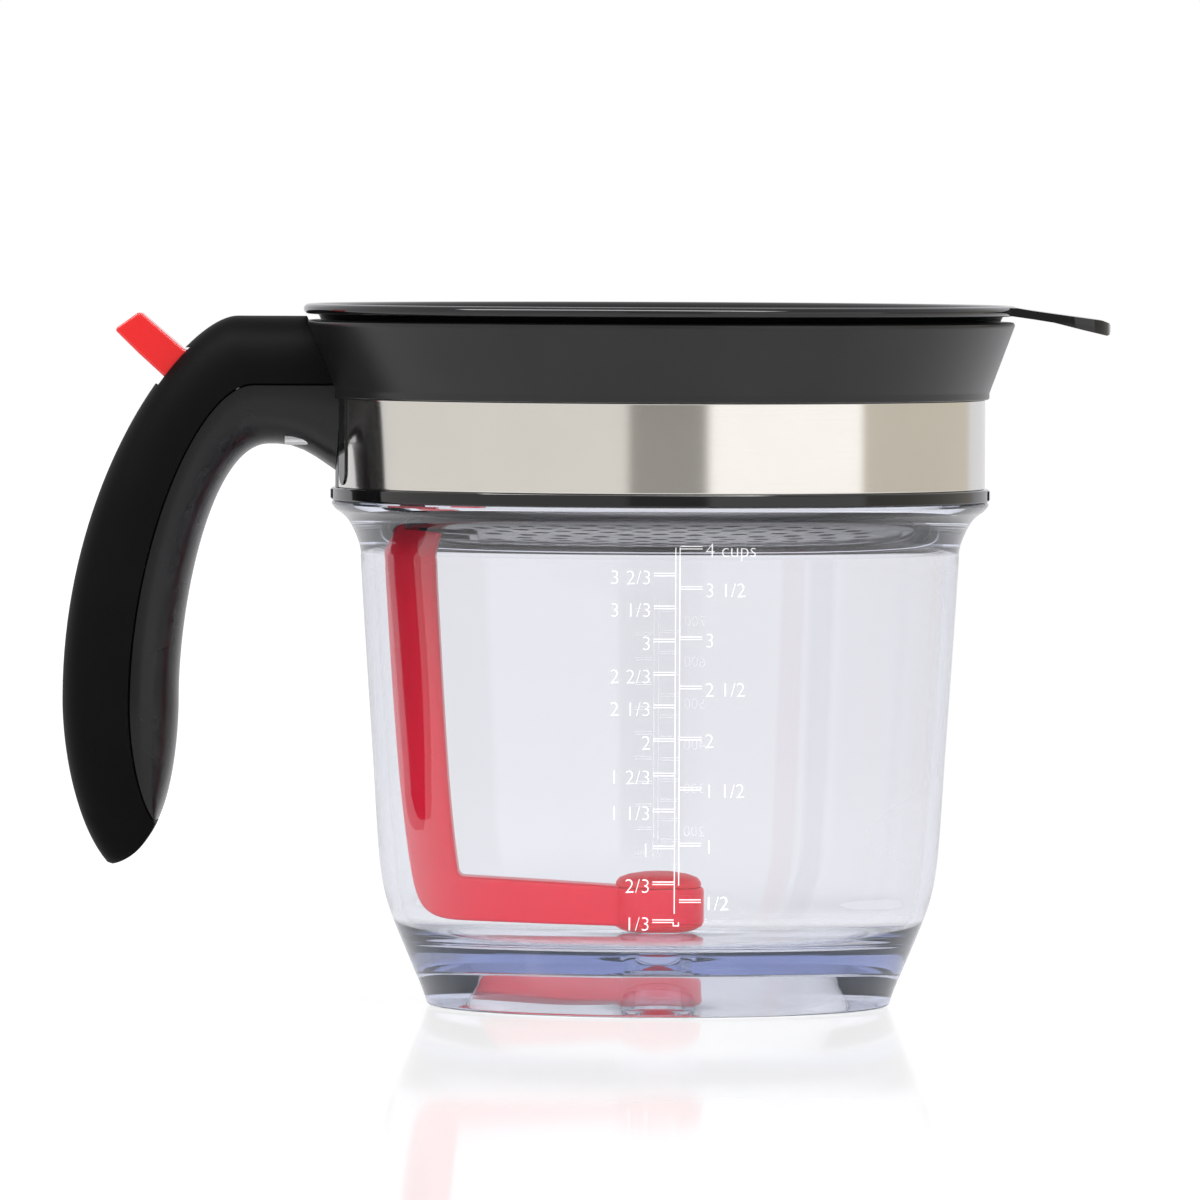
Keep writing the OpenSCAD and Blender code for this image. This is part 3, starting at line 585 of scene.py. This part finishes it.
def bridged_rings(name, rings, smooth=35.0):
    """Joins closed rings of equal length: circles are added, shaped, joined and bridged."""
    deselect_all()
    loops = []
    for ring_points in rings:
        bpy.ops.mesh.primitive_circle_add(vertices=len(ring_points), radius=MM)
        loop = bpy.context.object
        for vertex, point in zip(loop.data.vertices, ring_points):
            vertex.co = [c * MM for c in point]
        loops.append(loop)
    for loop in loops:
        loop.select_set(True)
    bpy.context.view_layer.objects.active = loops[0]
    bpy.ops.object.join()
    piece = bpy.context.object
    piece.name = piece.data.name = name
    bpy.ops.object.mode_set(mode="EDIT")
    bpy.ops.mesh.select_all(action="SELECT")
    bpy.ops.mesh.bridge_edge_loops()
    bpy.ops.mesh.select_all(action="SELECT")
    bpy.ops.mesh.fill_holes(sides=0)
    bpy.ops.object.mode_set(mode="OBJECT")
    return clean_up(piece, smooth)


def d_ring(base, edge, half, fullness, count=24, lift=0.24):
    """A D in the plane of base and edge: flat side on the seam, round side at the edge."""
    bx, bz = base
    ex, ez = edge
    length = max(math.hypot(ex - bx, ez - bz), 0.01)
    ux, uz = (ex - bx) / length, (ez - bz) / length
    round_side = []
    for k in range(count + 1):
        a = math.pi * (k / count - 0.5)
        u = max(math.cos(a), 0) ** fullness
        v = math.copysign(abs(math.sin(a)) ** fullness, a)
        round_side.append((lift + (length - lift) * u, half * v))
    flat_side = [(lift * 0.08, half * f) for f in (0.97, 0.6, 0.2, -0.2, -0.6, -0.97)]
    return [(bx + ux * u, v, bz + uz * u) for u, v in round_side + flat_side]


outs, seams, inners, ends, widths, tip_widths = handle_lines()

# %% Handle shell
shell_rings = [d_ring(s, o, w, 0.72) for s, o, w in zip(seams + ends, outs, widths + tip_widths)]
shell = bridged_rings("handle_outer_shell", shell_rings[:-1])
print("shell faces", len(shell.data.polygons))

ROOT_SEAT = [(0, 90), (69.9, 90), (69.9, 130.4), (70.75, 130.4), (70.75, 131.9), (76.1, 146.2),
             (76.15, 160), (0, 160)]
slot_outline = [(-124, 148.4), (-118.6, 154.9), (-102.2, 140.9), (-97.5, 141.3), (-94, 142.6),
                (-90, 142.6), (-90, 134.4), (-97, 131.2), (-101, 127.6), (-106.2, 130.9)]
cut(shell, flat_piece("slot", slot_outline, 13.2))
seat = turned_piece("root_seat", ROOT_SEAT, steps=160, closed=False)
cut(shell, seat)
clean_up(shell, 30.0)
dress(shell, shell_black, "jug", ("handle_shell",))

# %% Handle grip
grip_rings = [d_ring(s, i, -(w - 0.35), 0.85) for s, i, w in zip(seams, inners, widths)]
grip = bridged_rings("handle_inner_grip", grip_rings[:-1])
seat = turned_piece("root_seat", ROOT_SEAT, steps=160, closed=False)
cut(grip, seat)
clean_up(grip, 30.0)
dress(grip, grip_black, "jug", ("handle_grip",))

# %% [markdown]
# ## The red lever, arm and stopper
# The tab, the bar on its pin and the tongue are one flat moulding with soft edges. The arm
# hangs from it inside the jug and ends in a round holder for the stopper.

# %% Thumb lever
bar_outline = [(-99, 139.4), (-92, 141.4), (-77, 141.4), (-77, 136.5), (-92, 136.4),
               (-97.5, 134.9), (-100, 134.0)]
thumb = flat_piece("thumb_tab", [(-117.0, 144.6), (-116.5, 145.3), (-112.2, 148.35),
                   (-111.3, 148.3), (-102.3, 140.6), (-98.5, 139.6), (-97.5, 134.9),
                   (-102, 131.2), (-106.5, 134.7), (-112, 139.7)], 12.0, 0.55)
bar = flat_piece("lever_bar", bar_outline, 9.6, 0.4)
tongue = flat_piece("lever_tongue", [(-79, 141.4), (-56.2, 141.4), (-56.2, 136.6), (-79, 136.6)],
                    5.9, 0.3)
dress(thumb, tab_red, "valve_lever", ("thumb_lever",))
dress(bar, tab_red, "valve_lever")
dress(tongue, tab_red, "valve_lever")


# %% Valve arm
def arm_section():
    side = [(-63.2, 142.2), (-50.9, 142.4), (-48.3, 140.4)]
    side += bezier((-48.1, 96.0), (-45.8, 52.0), (-44.6, 38.0), (-43.0, 28.6), 14)
    side += [(-42.6, 28.0), (-42.0, 27.7), (-8.0, 25.9), (-8.0, 17.8)]
    side += bezier((-42.9, 19.0), (-48.4, 19.3), (-51.7, 21.9), (-53.0, 28.3), 14)
    side += bezier((-53.7, 32.0), (-55.5, 44.0), (-57.0, 60.0), (-59.1, 96.0), 8)
    side += [(-59.1, 126.0), (-63.2, 134.8)]
    return side


arm = flat_piece("valve_arm_bar", arm_section(), 9.6, 1.1, 5)
holder = turned_piece("stopper_holder", [(4.7, 18.5), (9.3, 18.5), (9.65, 18.65), (9.8, 19.0),
                      (9.8, 25.1), (9.65, 25.45), (9.3, 25.6), (4.7, 25.6)], steps=96)
dress(arm, arm_red, "valve_lever", ("valve_arm",))
dress(holder, arm_red, "valve_lever")

# %% Stopper
plug = turned_piece("stopper_plug", [(0, 11.5), (1.0, 11.8), (4.2, 13.9), (4.75, 14.5), (6.9, 15.35),
                    (7.4, 15.65), (8.5, 16.75), (9.2, 17.6), (9.5, 18.2), (9.5, 18.5),
                    (4.6, 18.5), (4.6, 25.55), (0, 25.55)], steps=96, closed=False)
cap = turned_piece("stopper_dome", [(0, 25.62), (8.9, 25.62), (9.15, 25.75), (9.2, 26.0),
                   (9.1, 26.6), (8.4, 27.35), (6.4, 28.0), (3.4, 28.45), (0, 28.55)],
                   steps=96, closed=False)
dress(plug, stopper_red, "valve_lever", ("stopper",))
dress(cap, stopper_red, "valve_lever", ("stopper_cap",))

# %% [markdown]
# ## The strainer
# A rolled glossy rim, a shallow funnel, the bowl with its notch for the arm, and the flat
# tab that is pressed down at its end.

# %% Strainer bowl and rim
strainer_section = [
    (73.5, 148.0), (73.7, 148.25), (74.0, 148.3), (75.7, 148.3), (76.15, 148.4), (76.5, 148.7),
    (76.68, 149.1), (76.7, 149.5), (76.6, 149.9), (76.3, 150.2), (75.9, 150.42), (75.4, 150.5),
    (74.6, 150.35), (73.4, 149.7), (71.4, 146.6),
    (61.6, 133.1), (60.3, 131.0), (59.8, 128.9), (57.8, 120.4), (55.25, 114.2), (55.2, 112.0),
    (53.6, 112.0), (53.6, 111.0), (56.1, 111.0), (56.7, 111.2), (57.0, 111.8), (59.6, 120.0),
    (61.6, 128.4), (62.2, 130.6), (63.4, 132.5), (72.4, 146.2), (72.9, 147.0)]
bowl = turned_piece("strainer_bowl", strainer_section, steps=220)
cut(bowl, block("notch_space", (-90, -6.6, 90), (-41.6, 6.6, 146.4)))
walls = block("notch_walls", (-74.6, -8.4, 111.0), (-39.8, 8.4, 148.2))
cut(walls, block("notch_inside", (-90, -6.6, 90), (-41.6, 6.6, 146.4)))
inside = turned_piece("funnel_inside", [(0, 105), (55, 105), (57.0, 111.8), (59.6, 120.0),
                      (61.6, 128.4), (62.2, 130.6), (63.4, 132.5), (72.4, 146.2),
                      (73.0, 148.2), (73.4, 149.7), (0, 149.7)], steps=160, closed=False)
cut(walls, inside, "INTERSECT")
clean_up(walls)
clean_up(bowl)
dress(bowl, gloss_black, "strainer_unit", ("strainer",))
dress(walls, gloss_black, "strainer_unit")

# %% Lifting tab
tab_side = [(74.5, 150.2), (74.5, 148.5), (79.5, 147.8), (84.0, 147.1), (90.0, 145.6),
            (95.5, 144.3), (96.1, 144.5), (96.3, 145.0), (96.3, 146.6), (96.0, 147.0),
            (94.4, 147.6), (84.0, 149.0), (79.0, 149.7), (76.0, 150.2)]
lift_tab = flat_piece("lifting_tab", tab_side, 34.0)
for side in (-1, 1):
    corner = block("corner", (87.3, min(8 * side, 20 * side), 130),
                   (100, max(8 * side, 20 * side), 160))
    deselect_all()
    bpy.ops.mesh.primitive_cylinder_add(vertices=128, radius=9.02 * MM, depth=60 * MM,
                                        location=(87.28 * MM, side * 7.98 * MM, 145 * MM))
    cut(corner, bpy.context.object)
    cut(lift_tab, corner)
apply_modifier(lift_tab, "BEVEL", width=0.4 * MM, segments=4, limit_method="ANGLE",
               angle_limit=math.radians(50))
clean_up(lift_tab)
dress(lift_tab, gloss_black, "strainer_unit")

# %% Carried-over solids
dress_node("strainer_screen", screen_black)
dress_node("neck_gasket", gasket_grey)
for name in ("handle_screws", "lever_pin", "return_spring", "arm_screw"):
    dress_node(name, small_steel)


# %% [markdown]
# ## Volume marks
# The marks are moulded on the wall: a double vertical line, ticks to both sides and
# numerals. Each is written as text or a small bar, made a mesh, and wrapped on the wall.

# %% Wrapping flat shapes on the wall
def wall_radius(z):
    """Outer radius of the straight part of the wall at a height in millimetres."""
    if z < 46.3:
        line = bezier((52.3, 7.0), (59.6, 24.4), (59.6, 22.3), (61.1, 46.3), 60)
    else:
        line = bezier((61.1, 46.3), (61.9, 60.0), (63.3, 78.0), (64.3, 96.0), 30)
        line += bezier((64.3, 97.2), (64.5, 99.2), (65.4, 101.2), (66.3, 102.9), 22)
    for (r0, z0), (r1, z1) in zip(line, line[1:]):
        if z0 <= z <= z1:
            return r0 + (r1 - r0) * (z - z0) / (z1 - z0)
    return 64.4


def wrap(piece, side=-1):
    """Bends a flat shape drawn in XZ, thickness along Y, round the near wall (side -1)."""
    for vertex in piece.data.vertices:
        x, y, z = (c / MM for c in vertex.co)
        r = wall_radius(z) + 0.02 - y
        a = x / wall_radius(z)
        vertex.co = (-side * r * math.sin(a) * MM, side * r * math.cos(a) * MM, z * MM)
    return clean_up(piece, 40.0)


def mark_bar(x0, x1, z0, z1):
    deselect_all()
    bpy.ops.mesh.primitive_cube_add(size=1, location=((x0 + x1) / 2 * MM, -0.12 * MM,
                                                      (z0 + z1) / 2 * MM))
    piece = bpy.context.object
    piece.scale = ((x1 - x0) * MM, 0.24 * MM, (z1 - z0) * MM)
    bpy.ops.object.transform_apply(location=True, rotation=True, scale=True)
    bpy.ops.object.mode_set(mode="EDIT")
    bpy.ops.mesh.select_all(action="SELECT")
    bpy.ops.mesh.subdivide(number_cuts=3)
    bpy.ops.object.mode_set(mode="OBJECT")
    return piece


def mark_text(words, x, z, size, align="LEFT"):
    deselect_all()
    bpy.ops.object.text_add(location=(x * MM, 0, z * MM), rotation=(math.pi / 2, 0, 0))
    piece = bpy.context.object
    piece.data.body = words
    piece.data.size = size * MM
    piece.data.extrude = 0.12 * MM
    piece.data.offset = -0.08 * MM
    piece.data.align_x = align
    piece.data.align_y = "CENTER"
    piece.data.resolution_u = 4
    bpy.ops.object.convert(target="MESH")
    piece = bpy.context.object
    bpy.ops.object.transform_apply(location=True, rotation=True, scale=True)
    for vertex in piece.data.vertices:
        vertex.co.y -= 0.12 * MM
    return piece


# %% Near scale
TICK_EDGE = 0.27   # a raised tick shows as two bright edges, so each is drawn as two bars
EDGE = 0.1


def tick(x0, x1, z):
    return [mark_bar(x0, x1, z + side * TICK_EDGE - EDGE, z + side * TICK_EDGE + EDGE)
            for side in (-1, 1)]


def upright(x0, x1, z0, z1, pieces=8):
    step = (z1 - z0) / pieces
    return [mark_bar(x0, x1, z0 + step * i, z0 + step * (i + 1)) for i in range(pieces)]


def near_scale():
    parts = upright(3.0, 3.2, 22.6, 100.0) + upright(3.9, 4.1, 28.6, 100.0)
    parts += [mark_bar(2.8, 3.0, 20.0, 20.8), mark_bar(3.9, 4.1, 20.0, 20.8),
             mark_bar(2.8, 4.1, 19.9, 20.1)]
    halves = [(25.3, "1/2"), (37.3, "1"), (49.1, "1 1/2"), (59.7, "2"), (70.5, "2 1/2"),
              (80.9, "3"), (91.5, "3 1/2"), (100.0, "4 cups")]
    for z, words in halves:
        parts += tick(4.1, 8.7, z)
        parts.append(mark_text(words, 9.3, z - 0.7, 4.3))
    thirds = [(21.0, "1/3"), (29.1, "2/3"), (36.7, "1"), (44.5, "1 1/3"), (52.1, "1 2/3"),
              (59.4, "2"), (66.5, "2 1/3"), (73.4, "2 2/3"), (80.4, "3"), (87.4, "3 1/3"),
              (94.3, "3 2/3")]
    for z, words in thirds:
        parts += tick(-1.5, 3.0, z)
        parts.append(mark_text(words, -1.9, z - 0.8, 4.3, "RIGHT"))
    return parts


# %% Far scale
def far_scale():
    """Finer ticks on the far wall, which show faintly through the jug."""
    parts = upright(-0.2, 0.0, 28.0, 86.0) + upright(0.8, 1.0, 28.0, 86.0)
    for i in range(11):
        parts += tick(1.3, 5.2, 28.9 + 5.38 * i)
    for i in range(12):
        parts += tick(-5.0, -0.5, 31.65 + 4.63 * i)
    for z, words in ((33.6, "200"), (43.6, "300"), (53.1, "400"), (62.1, "500"), (71.2, "600"),
                     (80.1, "700")):
        parts.append(mark_text(words, -5.8, z, 3.4, "RIGHT"))
    return parts


def joined_marks(name, parts, side):
    for piece in parts:
        wrap(piece, side)
    deselect_all()
    for piece in parts:
        piece.select_set(True)
    bpy.context.view_layer.objects.active = parts[0]
    bpy.ops.object.join()
    marks = bpy.context.object
    marks.name = marks.data.name = name
    dress(marks, marks_painted_highlight, "jug")
    marks.visible_shadow = False
    return marks


marks = joined_marks("volume_marks", near_scale(), -1)
far_marks = joined_marks("volume_marks_far", far_scale(), 1)
print("marks faces", len(marks.data.polygons))

# %% [markdown]
# ## Floor, light and surroundings
# The photograph has a white background, a glossy white floor with a faint reflection, and
# tall soft lights at the sides that show as pale bands on the steel. The world is white
# for the camera, and a small studio of pale and dark bands for gloss and refraction.

# %% Floor
deselect_all()
bpy.ops.mesh.primitive_plane_add(size=14, location=(0, 0, -0.0002))
floor = bpy.context.object
floor.name = "studio_floor"
finish = Finish("floor_white")
light_path = finish.tree.nodes.new("ShaderNodeLightPath")
seen = Value(finish, light_path.outputs["Is Camera Ray"])
speck = finish.noise(3.0, 2.0)
glow = finish.node("ShaderNodeEmission", {}, {"Color": (1, 1, 1), "Strength": 1.12})
paint = finish.node("ShaderNodeBsdfPrincipled", {}, {
    "Base Color": finish.ramp(speck, (0.3, (0.67, 0.67, 0.67)), (0.7, (0.69, 0.69, 0.69))),
    "Roughness": 0.06, "IOR": 1.45})
# Left of x = -78 mm, where the handle stands, the floor is plain white light for the camera. This painted
# light hides the handle's reflection and shadow there. Right of x = -70 mm the camera sees 38 percent of the
# real glossy floor, with its reflection and shadow.
floor_position = finish.node("ShaderNodeSeparateXYZ", {}, {0: finish.coordinates()})
reflection_kept = ((floor_position + 0.078) * 120.0).clamp()
mixed = finish.node("ShaderNodeMixShader", {}, {0: seen * (1.0 - reflection_kept * 0.38), 1: paint, 2: glow})
finish.tree.links.new(mixed.socket, finish.output.inputs["Surface"])
floor.data.materials.append(finish.material)


# %% World
def studio_world():
    world = bpy.data.worlds.new("studio")
    bpy.context.scene.world = world
    world.use_nodes = True
    tree = world.node_tree
    tree.nodes.clear()
    shell_of_light = Finish.__new__(Finish)
    shell_of_light.tree = tree
    shell_of_light.place = None
    out = tree.nodes.new("ShaderNodeOutputWorld")
    path = tree.nodes.new("ShaderNodeLightPath")
    direction = shell_of_light.node("ShaderNodeTexCoord", out=0)
    split = tree.nodes.new("ShaderNodeSeparateXYZ")
    tree.links.new(direction.socket, split.inputs[0])
    x = Value(shell_of_light, split.outputs[0])
    y = Value(shell_of_light, split.outputs[1])
    around = shell_of_light.node("ShaderNodeMath", {"operation": "ARCTAN2"}, {0: x, 1: y})
    turn = around / (2 * math.pi) + 0.5
    dark, beige, white = (0.33, 0.32, 0.295), (0.89, 0.87, 0.83), (1.38, 1.35, 1.34)
    tan, back = (0.70, 0.65, 0.56), (0.84, 0.84, 0.87)
    bands = shell_of_light.ramp(
        turn, (0.000, dark), (0.028, dark), (0.034, beige), (0.300, beige), (0.330, back),
        (0.600, back), (0.612, tan), (0.785, tan), (0.792, white), (0.950, white),
        (0.958, dark), (1.0, dark))
    height = shell_of_light.node("ShaderNodeMath", {"operation": "ABSOLUTE"},
                                 {0: Value(shell_of_light, split.outputs[2])})
    away = (height * 8.0 - 1.2).clamp()
    sky = shell_of_light.ramp(Value(shell_of_light, split.outputs[2]), (0.0, (0.92, 0.92, 0.94)),
                              (0.3, (0.92, 0.92, 0.94)), (0.6, (0.62, 0.62, 0.63)))
    bands = shell_of_light.node("ShaderNodeMix", {"data_type": "RGBA"},
                                {"Factor": away, 6: bands, 7: sky}, out=2)
    soft = shell_of_light.node("ShaderNodeMath", {"operation": "MINIMUM"}, {
        0: Value(shell_of_light, path.outputs["Diffuse Depth"]), 1: 1.0})
    room = shell_of_light.node("ShaderNodeMix", {"data_type": "RGBA"},
                               {"Factor": soft, 6: bands, 7: (1.2, 1.2, 1.22)}, out=2)
    camera_ray = Value(shell_of_light, path.outputs["Is Camera Ray"])
    colour = shell_of_light.node("ShaderNodeMix", {"data_type": "RGBA"},
                                 {"Factor": camera_ray, 6: room, 7: (1, 1, 1)}, out=2)
    light = shell_of_light.node("ShaderNodeBackground", {}, {"Color": colour, "Strength": 1.0})
    tree.links.new(light.socket, out.inputs["Surface"])


studio_world()


# %% Lamps
def soft_lamp(name, place, target, size, power, tall=None):
    data = bpy.data.lights.new(name, "AREA")
    data.shape = "RECTANGLE"
    data.size = size
    data.size_y = tall or size
    data.energy = power
    lamp = bpy.data.objects.new(name, data)
    bpy.context.scene.collection.objects.link(lamp)
    lamp.visible_glossy = False
    lamp.visible_transmission = False
    lamp.location = place
    aim = Vector(target) - lamp.location
    lamp.rotation_euler = aim.to_track_quat("-Z", "Y").to_euler()
    return lamp


soft_lamp("lamp_left", (-1.1, -0.9, 0.7), (0, 0, 0.08), 0.7, 5.0, 1.0)
soft_lamp("lamp_right", (1.1, -0.9, 0.8), (0, 0, 0.08), 0.7, 5.0, 1.0)
soft_lamp("lamp_top", (0, 0.1, 1.4), (0, 0, 0.08), 0.9, 5.0)
strip = soft_lamp("lamp_strip", (-0.2, -0.62, 1.15), (0, 0, 0.15), 2.2, 30.0, 0.42)
strip.visible_glossy = True
strip.visible_diffuse = False

bpy.context.scene.view_settings.view_transform = "Standard"

# Light in the thick foot is turned back many times before it leaves, as in a real cup.
bpy.context.scene.cycles.max_bounces = 32
bpy.context.scene.cycles.transmission_bounces = 32
